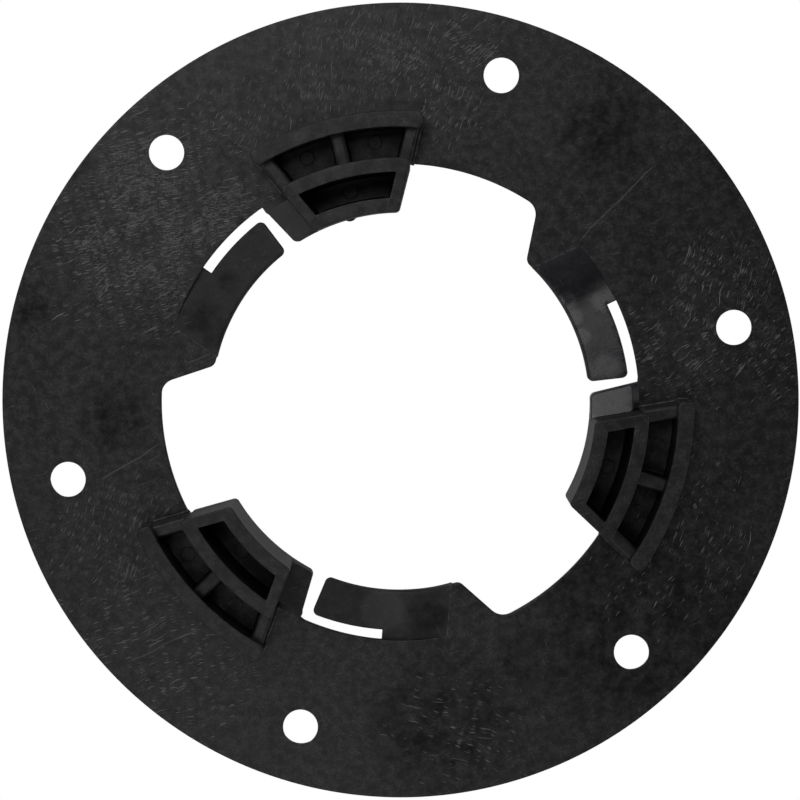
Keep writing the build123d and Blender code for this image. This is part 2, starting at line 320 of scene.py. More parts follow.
class Skin:
    """Vertices and faces of one piece. columns holds the place of each wall point along its loop, below 0
    where the rim is not rounded."""

    def __init__(self):
        self.points = []
        self.faces = []
        self.columns = {}

    def ring(self, spots, levels):
        """Adds a closed ring of points and returns their numbers."""
        first = len(self.points)
        self.points.extend(np.column_stack([spots, levels]))
        return list(range(first, len(self.points)))

    def band(self, low, high):
        """Faces between two rings of the same length."""
        for i in range(len(low)):
            j = (i + 1) % len(low)
            self.faces.append((low[i], low[j], high[j], high[i]))

    def wall(self, loop, bottom, top, bottom_round=0.0, top_round=0.0, draft=0.0, solid_inside=True):
        """Side wall on a loop, with rounded edges. Returns the first and the last ring.
        A negative bottom_round is a concave flare onto what the wall stands on."""
        out = outward(loop, solid_inside)
        bottom_round = np.broadcast_to(bottom_round, len(loop))
        top_round = np.broadcast_to(top_round, len(loop))
        rings = []
        for step in range(EDGE_STEPS + 1):
            angle = pi / 2 * step / EDGE_STEPS
            shift = draft - bottom_round * (1 - sin(angle))
            spots = loop + out * shift[:, None]
            rise = np.abs(bottom_round) * (1 - cos(angle))
            rings.append(self.ring(spots, heights(bottom, spots) + rise))
        for step in range(EDGE_STEPS + 1):
            angle = pi / 2 * step / EDGE_STEPS
            spots = loop - out * (top_round * (1 - cos(angle)))[:, None]
            rings.append(self.ring(spots, heights(top, spots) - top_round * (1 - sin(angle))))
        for low, high in zip(rings, rings[1:]):
            self.band(low, high)
        half = EDGE_STEPS + 1
        for edge_rings, edge_round in ((rings[:half], np.abs(bottom_round)), (rings[half:], top_round)):
            for ring in edge_rings:
                for place, number in enumerate(ring, 1):
                    self.columns[number] = -place if edge_round[place - 1] < CRISP_BELOW else place
        return rings[0], rings[-1]

    def cap(self, rings, level, spacing, turn=0.0, row=0.0):
        """Fills the area inside the first ring and outside the others, with an even grid of points that is
        turned by an angle and has one of its rows at the distance row."""
        loops = [np.array([self.points[i][:2] for i in ring]) for ring in rings]
        border = np.vstack(loops)
        numbers = [i for ring in rings for i in ring]
        edges = []
        for loop in loops:
            first = len(edges)
            edges += [(first + i, first + (i + 1) % len(loop)) for i in range(len(loop))]
        along, across = polar(1, turn), polar(1, turn + 90)
        reach = np.abs(border).max() * 1.5
        columns = np.arange(-reach, reach, spacing)
        rows = np.arange(-reach, reach, spacing)
        rows += (row - rows[0]) % spacing
        grid = np.array([along * x + across * y for y in rows for x in columns])
        grid = grid[inside(grid, loops)]
        clear = [np.min(np.sum((border - spot) ** 2, 1)) > (0.55 * spacing) ** 2 for spot in grid]
        grid = grid[np.array(clear, bool)] if len(grid) else grid
        flat = [Vector(spot) for spot in np.vstack([border, grid])]
        spots, _, faces, sources, _, _ = delaunay_2d_cdt(flat, edges, [], 1, 1e-7)
        middles = np.array([np.mean([spots[corner][:] for corner in face], 0) for face in faces])
        placed = {}
        for face, kept in zip(faces, inside(middles, loops)):
            if not kept:
                continue
            for corner in face:
                if corner in placed:
                    continue
                known = [s for s in sources[corner] if s < len(border)]
                if known:
                    placed[corner] = numbers[known[0]]
                else:
                    spot = np.array([spots[corner][:]])
                    placed[corner] = len(self.points)
                    self.points.append(np.array([*spot[0], heights(level, spot)[0]]))
            self.faces.append(tuple(placed[corner] for corner in face))

    def disc(self, centre, radius, bottom, top, edge=PIN_EDGE):
        """A low round pad with a softened edge."""
        loop = np.array([centre + polar(radius, angle) for angle in range(0, 360, 10)])
        low, high = self.wall(loop, bottom, top, 0.0, edge)
        self.faces.append(tuple(low))
        self.faces.append(tuple(high))

    def build(self, name, material):
        """Blender object with even outward normals and smooth shading between its hard edges."""
        mesh = bpy.data.meshes.new(name)
        mesh.from_pydata([tuple(p * MM) for p in np.array(self.points)], [], self.faces)
        cleaner = bmesh.new()
        cleaner.from_mesh(mesh)
        columns = cleaner.verts.layers.int.new("column")
        cleaner.verts.ensure_lookup_table()
        for number, column in self.columns.items():
            cleaner.verts[number][columns] = column
        bmesh.ops.remove_doubles(cleaner, verts=cleaner.verts, dist=MERGE_DISTANCE * MM)
        bmesh.ops.dissolve_degenerate(cleaner, edges=cleaner.edges, dist=MERGE_DISTANCE / 5 * MM)
        bmesh.ops.recalc_face_normals(cleaner, faces=cleaner.faces)
        for edge in cleaner.edges:
            first, second = (corner[columns] for corner in edge.verts)
            along_rim = first and second and abs(first) != abs(second)
            crisp = along_rim and min(first, second) < 0
            edge.smooth = not crisp and edge.calc_face_angle(0.0) < SHARP_ANGLE
        for face in cleaner.faces:
            face.smooth = True
        cleaner.verts.layers.int.remove(columns)
        cleaner.to_mesh(mesh)
        cleaner.free()
        piece = bpy.data.objects.new(name, mesh)
        bpy.context.scene.collection.objects.link(piece)
        piece.data.materials.append(material)
        weighted = piece.modifiers.new("even_normals", "WEIGHTED_NORMAL")
        weighted.keep_sharp = True
        return piece


# --------------------------------------------------------------------------------------------------
# Materials
# --------------------------------------------------------------------------------------------------

class Nodes:
    """Short ways to add and link shader nodes."""

    def __init__(self, tree):
        self.tree = tree

    def add(self, kind, inputs=None, output=0, **settings):
        """Adds a node, sets its properties and inputs, and returns one of its outputs."""
        node = self.tree.nodes.new(kind)
        for key, value in settings.items():
            setattr(node, key, value)
        for key, value in (inputs or {}).items():
            self.put(node.inputs[key], value)
        return node.outputs[output]

    def put(self, socket, value):
        """Links a socket, or sets its value."""
        if isinstance(value, bpy.types.NodeSocket):
            self.tree.links.new(value, socket)
        else:
            socket.default_value = value

    def math(self, operation, first, second=0.0, third=0.0, clamp=False):
        """One step of arithmetic on numbers."""
        inputs = {0: first, 1: second, 2: third}
        return self.add("ShaderNodeMath", inputs, operation=operation, use_clamp=clamp)

    def times(self, *values):
        """Product of several numbers."""
        product = values[0]
        for value in values[1:]:
            product = self.math("MULTIPLY", product, value)
        return product

    def highest(self, values):
        """Largest of several numbers, or 0."""
        best = values[0] if values else 0.0
        for value in values[1:]:
            best = self.math("MAXIMUM", best, value)
        return best

    def vector(self, operation, first, second=(0, 0, 0), output=0, scale=1.0):
        """One step of arithmetic on vectors."""
        inputs = {0: first, 1: second, 3: scale}
        return self.add("ShaderNodeVectorMath", inputs, output, operation=operation)

    def noise(self, place, scale, detail=2.0, roughness=0.5, output=0):
        """Noise from 0 to 1, or as a colour with output=1."""
        inputs = {"Vector": place, "Scale": scale, "Detail": detail, "Roughness": roughness}
        return self.add("ShaderNodeTexNoise", inputs, output)

    def patches(self, place, shift, scale, detail, roughness, low, high, least=0.0):
        """Soft patches of noise, from least where the noise is low to 1 where it is high."""
        noise = self.noise(self.vector("ADD", place, shift), scale, detail, roughness)
        return self.ramp(noise, low, high, least, 1.0)

    def ramp(self, value, low, high, to_low=0.0, to_high=1.0, smooth=True):
        """Value mapped from one range to another, and held at its ends."""
        inputs = {"Value": value, 1: low, 2: high, 3: to_low, 4: to_high}
        kind = "SMOOTHSTEP" if smooth else "LINEAR"
        return self.add("ShaderNodeMapRange", inputs, interpolation_type=kind)

    def blend(self, share, first, second):
        """Colour between two colours."""
        node = self.tree.nodes.new("ShaderNodeMix")
        node.data_type = "RGBA"
        self.put(node.inputs["Factor"], share)
        self.put(node.inputs[6], first)
        self.put(node.inputs[7], second)
        return node.outputs[2]


def grey(value, blue=1.0):
    """Neutral colour, bluer where blue is above 1."""
    return (value, value, value * blue, 1.0)


# Scuffed patches of the ring: x, y, reach, the angle that the scratches in them run at, and how strong
# they are
SCUFFS = (
    (-56, 41, 32, 4, 1.5),
    (-43, 40, 20, 18, 1.5),
    (-36, 62, 16, 60, 0.5),
    (-13, 74, 22, 76, 0.7),
    (3, 78, 15, 52, 1.0),
    (17, 80, 10, 42, 1.0),
    (11, 66, 11, 60, 0.9),
    (70, 26, 17, 55, 0.7),
    (61, 11, 17, 41, 0.7),
    (83, 10, 12, 33, 0.7),
    (-53, -55, 30, 22, 0.5),
    (-64, -30, 20, 65, 0.5),
    (60, -30, 26, 60, 0.35),
    (14, -74, 20, -20, 0.35),
)
# Short scratches: the angles that they run at, the length and width of the cell that one may stand in,
# how much of its cell one fills, and the share of the cells that hold one. A second layer has fewer and
# longer ones.
STROKE_ANGLES = (-20, 12, 38, 58, 74)
STROKE_CELL = (2.5, 0.26)
STROKE_SIZES = (0.14, 0.42)
STROKE_BRIGHTNESS = (0.3, 1.0)
LAYER_SHIFT = np.array([3.1, 1.7, 0])
STROKE_SHARE = 0.75
LONG_STROKE_TURN, LONG_STROKE_SHARE, LONG_STROKE_STRETCH = 13, 0.20, 2.4
# Stray scratches everywhere, as (angle, share of the cells that hold one)
STRAY_STROKES = ((24, 0.03), (118, 0.015))
STRAY_STRETCH, STRAY_STRENGTH = 1.6, 0.3
# How far scratches wander: the scale of the noise that bends them, and how many millimetres it moves
# them by
STROKE_BEND, STROKE_BEND_REACH = 0.035, 10.0
STROKE_JITTER, STROKE_JITTER_REACH = 0.5, 0.7
# Patches that the lugs have polished, and greasy smudges on the leaves: x, y, reach
GLOSSY_POLISHED = (
    (45.6, 24.4, 4.5),
    (46.0, 7.6, 4.0),
    (37.2, 22.8, 2.6),
    (39.0, 19.2, 2.2),
    (40.8, 15.0, 2.2),
)
DULL_POLISHED = ((-24.4, 41.3, 7.0), (-4.0, -46.5, 6.0))
GLOSSY_SMUDGES = ((42.6, 27.5, 5.5), (40.8, 23.5, 3.5))
DULL_SMUDGES = ((-44.5, 18.0, 9.0), (6.7, -47.5, 9.0), (-38.5, 27.0, 3.5))
# Thin marks on the ring, as (start, end): knit lines of the moulding, single long scratches, and last a
# painted highlight along the seam of the second leaf
MARKS = (
    ((39.4, 36.0), (57.2, 53.2)),
    ((-52.7, -9.2), (-67.5, -17.2)),
    ((-11.8, 82.4), (-6.6, 87.6)),
    ((-61.2, -57.9), (-44.1, -50.3)),
    # Painted highlight along the seam where the second leaf meets the ring
    ((-48.0, 8.9), (-41.6, 11.4)),
)
# Their strength, how far from straight they bow, the widths where they begin and stop fading, and the
# fade at each end
MARK_STRENGTH = 0.3
MARK_BEND, MARK_BEND_REACH = 0.09, 3.0
MARK_WIDTHS = (0.07, 0.2)
MARK_FADE = 2.0
# Dark patches on the ring: x, y, reach. The small ones are greasy smudges; the broad ones at the lower
# right, the bottom and the upper right are painted shade.
RING_SMUDGES_AND_SHADE = (
    (-64, -3, 12),
    (-74, 55, 8),
    (27, -58, 9),
    (8, -46, 4),
    (-83, 20, 8),
    (54, -48, 42),
    (10, -72, 26),
    (45, 60, 16),
    (-56.6, -62.2, 2.5),
)
# Layers of unevenness, as Nodes.patches takes them
CLOUDS = ((0, 0, 0), 0.05, 5.0, 0.62, 0.36, 0.66)
BLOTCHES = ((3, 17, 5), 0.45, 4.0, 0.70, 0.36, 0.66)
THIN_SCUFFS = ((7, 61, 3), 0.12, 4.0, 0.60, 0.36, 0.62, 0.3)
# Patches of painted bluish sheen
BLUE_SHEEN_PATCHES = ((41, 23, 9), 0.07, 3.0, 0.60, 0.56, 0.66)
CLOUDY_DIRT_AND_SHADE = ((0, 0, 0), 0.20, 4.0, 0.60, 0.32, 0.62, 0.25)
GRAIN = (2.2, 3.0, 0.8)
# Colours of dust in the grain and of a bare scratch, which worn edges and painted highlights share
DUST = grey(0.11, 1.03)
SCRATCH_AND_HIGHLIGHT = grey(0.23, 1.03)
# Reach of the painted shade in pockets and corners, and of the wear and painted highlight along edges
PAINTED_SHADE_REACH = 9.0
EDGE_WEAR_AND_HIGHLIGHT_REACH = 0.3
# How strongly scratches, worn edges with their painted highlight, grease with the painted shade
# patches, and the painted bluish sheen show in the colour
LINE_STRENGTH, EDGE_WEAR_AND_HIGHLIGHT_STRENGTH, DIRT_AND_SHADE_STRENGTH, BLUE_SHEEN_STRENGTH = 0.9, 0.45, 0.8, 0.6
# What grease and the painted shade patches, blotches and polish add to the shine, and clouds, blotches
# and wear to the roughness
DIRT_AND_SHADE_SHINE, BLOTCH_SHINE, POLISH_SHINE = -0.22, 0.3, 0.35
CLOUD_ROUGHNESS, BLOTCH_ROUGHNESS, WORN_ROUGHNESS = 0.05, 0.05, 0.15
# Relief of scratches and of grain, as shares of a height
SCRATCH_RELIEF, GRAIN_RELIEF, RELIEF_HEIGHT = -0.8, 0.45, 0.03


def strokes(nodes, place, angle, share, stretch=1.0):
    """Crisp short scratches at about one angle. share is the part of the possible ones that are there."""
    turned = nodes.add("ShaderNodeVectorRotate", {"Vector": place, "Angle": radians(-angle)},
                       rotation_type="Z_AXIS")
    cells = nodes.vector("MULTIPLY", turned, (1 / STROKE_CELL[0] / stretch, 1 / STROKE_CELL[1], 0))
    away = nodes.add("ShaderNodeTexVoronoi", {"Vector": cells, "Scale": 1.0}, "Distance",
                     voronoi_dimensions="2D")
    chance = nodes.add("ShaderNodeSeparateColor", {0: away.node.outputs["Color"]}, "Red")
    size = nodes.ramp(chance.node.outputs["Blue"], 0, 1, *STROKE_SIZES, smooth=False)
    body = nodes.ramp(nodes.math("DIVIDE", away, size), 0.5, 1.0, 1.0, 0.0)
    shown = nodes.math("GREATER_THAN", share, chance)
    bright = nodes.ramp(chance.node.outputs["Green"], 0, 1, *STROKE_BRIGHTNESS, smooth=False)
    return nodes.times(body, nodes.times(shown, bright))


def near(nodes, place, x, y, reach, core=0.2):
    """1 at a spot on the plate, fading to 0 at a distance."""
    flat = nodes.vector("MULTIPLY", place, (1, 1, 0))
    away = nodes.vector("DISTANCE", flat, (x, y, 0), "Value")
    return nodes.ramp(away, core * reach, reach, 1.0, 0.0)


def mark(nodes, place, start, end):
    """One thin line on the surface from start to end."""
    start, end = np.array(start), np.array(end)
    length = np.linalg.norm(end - start)
    along = (end - start) / length
    bow = nodes.math("SUBTRACT", nodes.noise(place, MARK_BEND, 1.0), 0.5)
    from_start = nodes.vector("SUBTRACT", place, (*start, 0))
    forward = nodes.vector("DOT_PRODUCT", from_start, (*along, 0), "Value")
    sideways = nodes.vector("DOT_PRODUCT", from_start, (-along[1], along[0], 0), "Value")
    sideways = nodes.math("MULTIPLY_ADD", bow, MARK_BEND_REACH, sideways)
    thin = nodes.ramp(nodes.math("ABSOLUTE", sideways), *MARK_WIDTHS, 1.0, 0.0)
    begun = nodes.ramp(forward, 0.0, MARK_FADE)
    ended = nodes.ramp(forward, length - MARK_FADE, length, 1.0, 0.0)
    return nodes.times(thin, nodes.times(begun, ended))


def wandering(nodes, place):
    """The place, moved so that straight scratches drawn at it come out bent and a little uneven."""
    bend = nodes.noise(place, STROKE_BEND, 2.0, output=1)
    jitter = nodes.noise(place, STROKE_JITTER, 1.0, output=1)
    place = nodes.vector("ADD", place, nodes.vector("SCALE", bend, scale=STROKE_BEND_REACH))
    return nodes.vector("ADD", place, nodes.vector("SCALE", jitter, scale=STROKE_JITTER_REACH))


def scratched(nodes, place, scuffs, marks):
    """How scratched the surface is, with its thin marks and one painted highlight line, and how scuffed the
    patch is that a spot lies in.
    """
    wander = wandering(nodes, place)
    thinned = nodes.patches(place, *THIN_SCUFFS)
    layers = [nodes.times(strokes(nodes, wander, *stray, STRAY_STRETCH), STRAY_STRENGTH)
              for stray in STRAY_STROKES]
    layers += [nodes.times(mark(nodes, place, *ends), MARK_STRENGTH) for ends in marks]
    scuffed = []
    for layer in STROKE_ANGLES:
        areas = [nodes.times(near(nodes, place, x, y, reach), strength)
                 for x, y, reach, angle, strength in scuffs
                 if min(STROKE_ANGLES, key=lambda other: abs(other - angle)) == layer]
        if areas:
            area = nodes.times(nodes.highest(areas), thinned)
            scuffed.append(area)
            shifted = nodes.vector("ADD", wander, tuple(LAYER_SHIFT * layer))
            many, few = nodes.times(area, STROKE_SHARE), nodes.times(area, LONG_STROKE_SHARE)
            layers.append(strokes(nodes, shifted, layer, many))
            layers.append(strokes(nodes, shifted, layer + LONG_STROKE_TURN, few, LONG_STROKE_STRETCH))
    return nodes.highest(layers), nodes.highest(scuffed)


def rubbed_and_highlit_edges(nodes, blotches):
    """How rubbed a spot is, together with a painted highlight along edges: 1 at an edge, where a softened
    edge's normal leans away from the true one.
    """
    true_normal = nodes.add("ShaderNodeNewGeometry", output="Normal")
    soft_normal = nodes.add("ShaderNodeBevel", {"Radius": EDGE_WEAR_AND_HIGHLIGHT_REACH * MM}, samples=4)
    alike = nodes.vector("DOT_PRODUCT", true_normal, soft_normal, "Value")
    return nodes.times(nodes.ramp(alike, 0.99, 0.85), nodes.ramp(blotches, 0.2, 0.8, 0.25, 1.0))


def grease_and_shade(nodes, place, grime, smudges):
    """How dark a spot is made: grime everywhere, and 1 in a smudge and in a patch of painted shade."""
    spots = nodes.highest([near(nodes, place, *smudge) for smudge in smudges])
    return nodes.times(nodes.patches(place, *CLOUDY_DIRT_AND_SHADE), nodes.math("MAXIMUM", spots, grime))


def worn_plastic(name, dark, light, roughness, mottle, shine=0.5, grime=0.2, blue=1.05,
                 scuffs=(), marks=(), smudges=(), polished=()):
    """Black moulded plastic: cloudy between two greys, speckled as much as mottle says, with fine grain,
    scratched patches, smudges and rubbed edges. Painted into it are shade in pockets and corners, a
    highlight along edges, a bluish sheen in patches, and on the ring broad patches of shade."""
    material = bpy.data.materials.new(name)
    material.use_nodes = True
    nodes = Nodes(material.node_tree)
    shader = nodes.tree.nodes["Principled BSDF"]
    metres = nodes.add("ShaderNodeTexCoord", output="Object")
    place = nodes.vector("MULTIPLY", metres, (1 / MM, 1 / MM, 1 / MM))
    clouds = nodes.patches(place, *CLOUDS)
    blotches = nodes.patches(place, *BLOTCHES)
    grain = nodes.noise(place, *GRAIN)
    lines, scuffed = scratched(nodes, place, scuffs, marks)
    # Lighter edges: partly real wear, partly a painted highlight along the rounded edges.
    edge_wear_and_highlight = nodes.times(rubbed_and_highlit_edges(nodes, blotches), EDGE_WEAR_AND_HIGHLIGHT_STRENGTH)
    wear_and_edge_highlight = nodes.math("ADD", nodes.times(lines, LINE_STRENGTH), edge_wear_and_highlight, clamp=True)
    # Grime and smudges, and on the ring broad patches of painted shade, darken the colour and the shine.
    dirt_and_shade = grease_and_shade(nodes, place, grime, smudges)
    # Painted shade: ambient occlusion darkens the colour and the shine in pockets, corners and at wall feet.
    painted_shade = nodes.add("ShaderNodeAmbientOcclusion", {"Distance": PAINTED_SHADE_REACH * MM}, "AO", samples=8)
    painted_shade = nodes.ramp(painted_shade, 0.12, 0.58, 0.2, 1.0)

    colour = nodes.blend(clouds, grey(dark, blue), grey(light, blue))
    # Painted bluish sheen: patches made lighter and bluer.
    painted_sheen = nodes.times(nodes.patches(place, *BLUE_SHEEN_PATCHES), BLUE_SHEEN_STRENGTH)
    colour = nodes.blend(painted_sheen, colour, grey(light, 1.5))
    dusty = nodes.math("MAXIMUM", nodes.math("MULTIPLY_ADD", blotches, 0.4, 0.1), scuffed)
    speckled = nodes.times(nodes.ramp(grain, 0.47, 0.66), dusty)
    colour = nodes.blend(nodes.times(speckled, mottle), colour, DUST)
    colour = nodes.blend(nodes.times(dirt_and_shade, DIRT_AND_SHADE_STRENGTH), colour, grey(dark * 0.35, 1.2))
    colour = nodes.blend(wear_and_edge_highlight, colour, SCRATCH_AND_HIGHLIGHT)
    nodes.put(shader.inputs["Base Color"], nodes.vector("SCALE", colour, scale=painted_shade))

    rubbed = nodes.highest([near(nodes, place, *patch, 0.6) for patch in polished])
    shine = nodes.math("MULTIPLY_ADD", dirt_and_shade, DIRT_AND_SHADE_SHINE, shine)
    shine = nodes.math("MULTIPLY_ADD", nodes.math("SUBTRACT", blotches, 0.5), BLOTCH_SHINE * mottle, shine)
    shine = nodes.math("MULTIPLY_ADD", rubbed, POLISH_SHINE, shine)
    # The shine is dimmed by the painted shade too.
    nodes.put(shader.inputs["Specular IOR Level"], nodes.times(shine, painted_shade))
    rough = nodes.math("MULTIPLY_ADD", clouds, CLOUD_ROUGHNESS, roughness)
    rough = nodes.math("MULTIPLY_ADD", blotches, BLOTCH_ROUGHNESS, rough)
    rough = nodes.math("MULTIPLY_ADD", wear_and_edge_highlight, WORN_ROUGHNESS, rough, clamp=True)
    nodes.put(shader.inputs["Roughness"], rough)
    relief = nodes.math("MULTIPLY_ADD", lines, SCRATCH_RELIEF, nodes.times(grain, GRAIN_RELIEF))
    bump = {"Height": relief, "Strength": 0.5, "Distance": RELIEF_HEIGHT * MM}
    nodes.put(shader.inputs["Normal"], nodes.add("ShaderNodeBump", bump))
    return material


ring_plastic = worn_plastic("ring_plastic", dark=0.005, light=0.011, roughness=0.33, mottle=0.8,
                            scuffs=SCUFFS, marks=MARKS, smudges=RING_SMUDGES_AND_SHADE)
boss_plastic = worn_plastic("boss_plastic", dark=0.006, light=0.012, roughness=0.34, mottle=0.7)
# The first station is rubbed glossy by the lugs. The other two are duller. Both leaf greys are lighter
# than the ring's, painted light that the sloped leaves and ramps catch, and the first one's bluer tint
# is a painted bluish reflection.
glossy_leaf = worn_plastic("glossy_leaf", dark=0.010, light=0.016, roughness=0.24, mottle=0.3, shine=0.62,
                           grime=0.0, blue=1.4, smudges=GLOSSY_SMUDGES, polished=GLOSSY_POLISHED)
dull_leaf = worn_plastic("dull_leaf", dark=0.010, light=0.016, roughness=0.44, mottle=0.4, grime=0.0,
                         smudges=DULL_SMUDGES, polished=DULL_POLISHED)
LEAF_PLASTICS = {1: glossy_leaf, 2: dull_leaf, 3: dull_leaf}


# --------------------------------------------------------------------------------------------------
# Pieces
# --------------------------------------------------------------------------------------------------

def angle_of(spots):
    """Angle of each spot about the plate's axis, from -180 to 180."""
    return np.degrees(np.arctan2(spots[:, 1], spots[:, 0]))


def between(angles, low, high, fade=0.8):
    """1 where an angle lies between low and high, falling to 0 just inside the ends."""
    centre, half = (low + high) / 2, (high - low) / 2
    away = np.abs((angles - centre + 180) % 360 - 180)
    return np.clip((half - away) / fade, 0, 1)


SEAM_INNER_ANGLE = HINGE_ANGLE + degrees(asin(LEAD_IN_END / LEAF_INNER_RADIUS))
SEAM_OUTER_ANGLE = HINGE_ANGLE + degrees(asin(LEAD_IN_END / OPENING_RADIUS))
# Along the opening's edge, the stretch that the box and the ramp stand against, with a margin either side
FOOT_MARGIN = 0.8
FOOT_START = BOSS_ANGLE - BOX_OUTER_SPAN - FOOT_MARGIN
FOOT_END = BOSS_ANGLE + RAMP_OUTER_ANGLE + FOOT_MARGIN
# Length over which the lead-in's shoulder fades out before the seam
SHOULDER_FADE = 6


def opening_loop():
    """The inner edge of the ring: plain arcs, with a finger root standing in at each station."""
    lines, rounds = [], []
    for angle in STATION_ANGLES.values():
        seam = straight(polar(OPENING_RADIUS, angle + SEAM_OUTER_ANGLE),
                        polar(LEAF_INNER_RADIUS, angle + SEAM_INNER_ANGLE), 8)
        inner = arc(LEAF_INNER_RADIUS, angle + SEAM_INNER_ANGLE, angle + ROOT_INNER_ANGLE, 0.5)
        side = straight(inner[-1], polar(OPENING_RADIUS, angle + ROOT_OUTER_ANGLE), 8)
        edge = arc(OPENING_RADIUS, angle + ROOT_OUTER_ANGLE, angle + SEAM_OUTER_ANGLE + 120, FINE_ARC_STEP)
        lines += [seam, inner, side, edge]
        rounds += [0, ROOT_INNER_ROUND, ROOT_OUTER_ROUND, 0]
    return joined(lines, rounds)


def opening_rounds(loop):
    """Upper and lower edge radius at each point of the opening: 0 where another region carries on."""
    angles = angle_of(loop)
    on_arc = np.hypot(loop[:, 0], loop[:, 1]) > OPENING_RADIUS - SAME_LINE
    upper = np.full(len(loop), OPENING_EDGE)
    lower = np.full(len(loop), OPENING_EDGE)
    for angle in STATION_ANGLES.values():
        foot = between(angles, angle + FOOT_START, angle + FOOT_END)
        upper *= 1 - foot
        lower *= 1 - foot
        across = loop @ polar(1, angle + HINGE_ANGLE + 90)
        outward_side = loop @ polar(1, angle + HINGE_ANGLE) > 0
        on_seam = (np.abs(across - LEAD_IN_END) < SAME_LINE) & outward_side
        upper[on_seam] = 0
        lower[on_seam] = 0
        lead_in = between(angles, angle + HINGE_ANGLE, angle + SEAM_OUTER_ANGLE + 1) * on_arc
        lower *= 1 - lead_in
        fading = np.clip((LEAD_IN_END - across) / SHOULDER_FADE, 0, 1)
        shoulder = lead_in * outward_side
        upper = upper * (1 - shoulder) + LEAD_IN_SHOULDER * fading * shoulder
    return upper, lower


def make_ring():
    """Flat ring with its opening, its screw holes and the pads between the ribs."""
    skin = Skin()
    opening = opening_loop()
    upper, lower = opening_rounds(opening)
    draft = -OPENING_FLARE * lower / OPENING_EDGE
    walls = [skin.wall(arc(PLATE_RADIUS, 0, 359), 0, PLATE_TOP, RIM_EDGE, RIM_EDGE),
             skin.wall(opening, 0, PLATE_TOP, lower, upper, draft, solid_inside=False)]
    for number in range(SCREW_COUNT):
        centre = polar(SCREW_CIRCLE_RADIUS, FIRST_SCREW_ANGLE + 360 / SCREW_COUNT * number)
        hole = centre + arc(SCREW_RADIUS - SCREW_FLASH, 0, 355, 5)
        walls.append(skin.wall(hole, 0, PLATE_TOP, 0.0, SCREW_FLASH, -SCREW_FLARE, solid_inside=False))
    lows, highs = zip(*walls)
    skin.cap(lows, 0, RING_GRID)
    skin.cap(highs, PLATE_TOP, RING_GRID)
    for angle in STATION_ANGLES.values():
        for radius, offset in RIB_PIN_PLACES:
            centre = polar(radius, angle + BOSS_ANGLE + offset)
            skin.disc(centre, PIN_RADIUS, PLATE_TOP - PAD_SINK, PLATE_TOP + PIN_HEIGHT)
    return skin.build("ring", ring_plastic)


def both_sides(middle, span):
    """The two angles that lie a span away from a middle."""
    return middle - span, middle + span


def box_loop(middle, outer_radius):
    """Outline of a drive box about its boss axis."""
    outer, inner = both_sides(middle, BOX_OUTER_SPAN), both_sides(middle, BOX_INNER_SPAN)
    return sector(outer_radius, outer, BOX_INNER_RADIUS, inner, (BOX_CORNER_ROUND,) * 4)


def pocket_flare(pocket, outer, inner):
    """Reach of the flare at each point of a pocket's outline, which fades out towards the corners."""
    corners = np.array([polar(POCKET_OUTER_RADIUS, angle) for angle in outer]
                       + [polar(POCKET_INNER_RADIUS, angle) for angle in inner])
    away = np.linalg.norm(pocket[:, None] - corners[None], axis=2).min(1)
    return POCKET_FLARE * np.clip((away - FLARE_FADE_START) / FLARE_FADE_LENGTH, 0, 1)


def make_box(number, angle):
    """Drive box: a wall from the machine side to the rim, a deep pocket, and a pad on its floor."""
    middle = angle + BOSS_ANGLE
    skin = Skin()
    foot, walls = box_loop(middle, OPENING_RADIUS), box_loop(middle, BOX_OUTER_RADIUS)
    foot_low, foot_high = skin.wall(foot, 0, PLATE_TOP - SHOULDER_SINK, BOX_FOOT_EDGE)
    low, high = skin.wall(walls, PLATE_TOP, BOX_TOP, 0.0, BOX_EDGE)
    skin.band(foot_high, low)
    outer, inner = both_sides(middle, POCKET_OUTER_SPAN), both_sides(middle, POCKET_INNER_SPAN)
    pocket = sector(POCKET_OUTER_RADIUS, outer, POCKET_INNER_RADIUS, inner, (POCKET_CORNER_ROUND,) * 4)
    flare = pocket_flare(pocket, outer, inner)
    floor, mouth = skin.wall(pocket, PLATE_TOP, BOX_TOP, -flare, POCKET_EDGE, POCKET_DRAFT,
                             solid_inside=False)
    skin.cap([foot_low], 0, BOSS_GRID)
    skin.cap([high, mouth], BOX_TOP, BOSS_GRID)
    skin.cap([floor], PLATE_TOP, BOSS_GRID)
    radius, offset = POCKET_PIN_PLACE
    skin.disc(polar(radius, middle + offset), PIN_RADIUS, PLATE_TOP - PAD_SINK, PLATE_TOP + PIN_HEIGHT)
    if number in FLASH_ANGLES:
        centre = polar(BOX_INNER_RADIUS + FLASH_DEPTH, middle + FLASH_ANGLES[number])
        skin.disc(centre, FLASH_RADIUS, FLASH_BOTTOM, FLASH_TOP)
    return skin.build(f"box_{number}", boss_plastic)


def make_wall(number, angle):
    """Locating wall with rounded ends, a small flare at its foot, and faint pads on its top."""
    middle = angle + BOSS_ANGLE
    span = both_sides(middle, WALL_SPAN)
    skin = Skin()
    loop = sector(WALL_OUTER_RADIUS, span, WALL_INNER_RADIUS, span, (WALL_END_ROUND,) * 4)
    foot = PLATE_TOP - WALL_SINK
    low, high = skin.wall(loop, foot, WALL_TOP, -WALL_FLARE, WALL_EDGE, WALL_DRAFT)
    skin.cap([low], foot, BOSS_GRID)
    skin.cap([high], WALL_TOP, BOSS_GRID)
    for offset in WALL_PINS.get(number, ()):
        centre = polar((WALL_INNER_RADIUS + WALL_OUTER_RADIUS) / 2, middle + offset)
        skin.disc(centre, WALL_PIN_RADIUS, WALL_TOP - PAD_SINK, WALL_TOP + WALL_PIN_HEIGHT, WALL_PIN_EDGE)
    return skin.build(f"outer_wall_{number}", boss_plastic)


